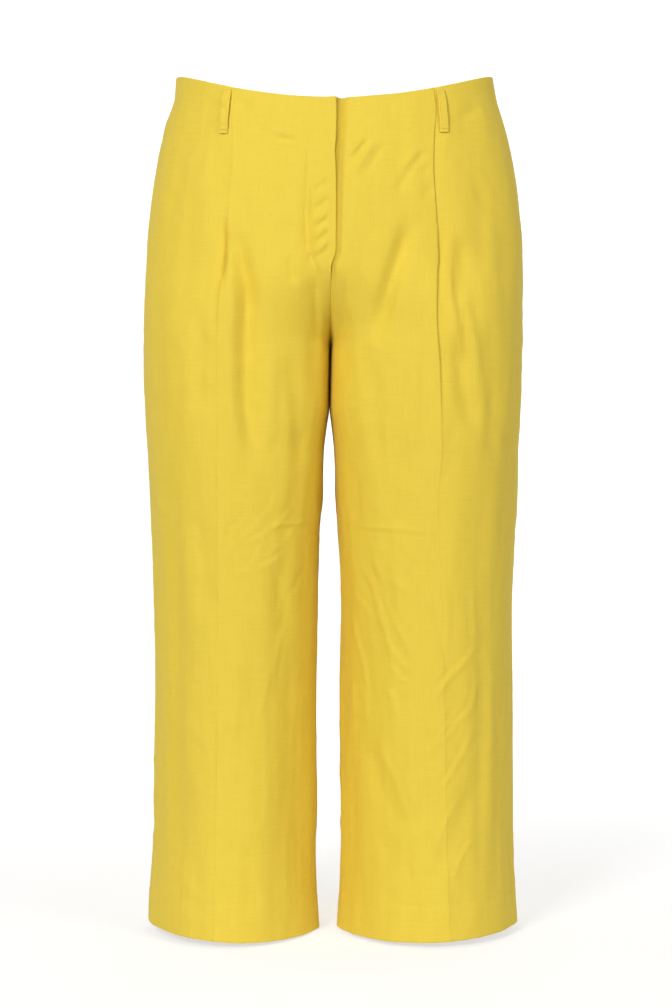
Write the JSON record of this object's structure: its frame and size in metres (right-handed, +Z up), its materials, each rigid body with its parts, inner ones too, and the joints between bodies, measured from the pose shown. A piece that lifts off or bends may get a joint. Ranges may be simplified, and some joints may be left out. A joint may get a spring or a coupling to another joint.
{
  "type": "straight-leg trousers with pleated fronts",
  "caption": "Cropped straight-leg trousers in plain cloth, filled out as if worn: faced waist with belt loops, lapped fly with a zip behind, pressed front pleats, turned-up hems.",
  "frame": {"origin": "centre of the waist ring where the wearer holds the garment up, 22.5 mm below the top edge at the sides", "axes": "+Z up the body and out of the waist, -Y is the front of the garment, +X is the wearer's left"},
  "size_m": [0.4021, 0.2786, 0.9085],
  "materials": {
    "cloth": "plain-woven linen and viscose, matt with a soft sheen, lightly creased",
    "zip_tape": "woven zip tape with a moulded coil, dyed to match",
    "zip_metal": "satin nickel finish",
    "hook_metal": "pressed steel, satin"
  },
  "bodies": {
    "root": {"front_right": "cloth", "front_left": "cloth", "back_right": "cloth", "back_left": "cloth", "belt_loop_front_right": "cloth", "belt_loop_front_left": "cloth", "belt_loop_back_right": "cloth", "belt_loop_back_centre": "cloth", "belt_loop_back_left": "cloth", "fly_shield": "cloth", "fly_zip": "zip_tape", "zip_slider": "zip_metal", "waist_hook": "hook_metal"}
  },
  "joints": []
}
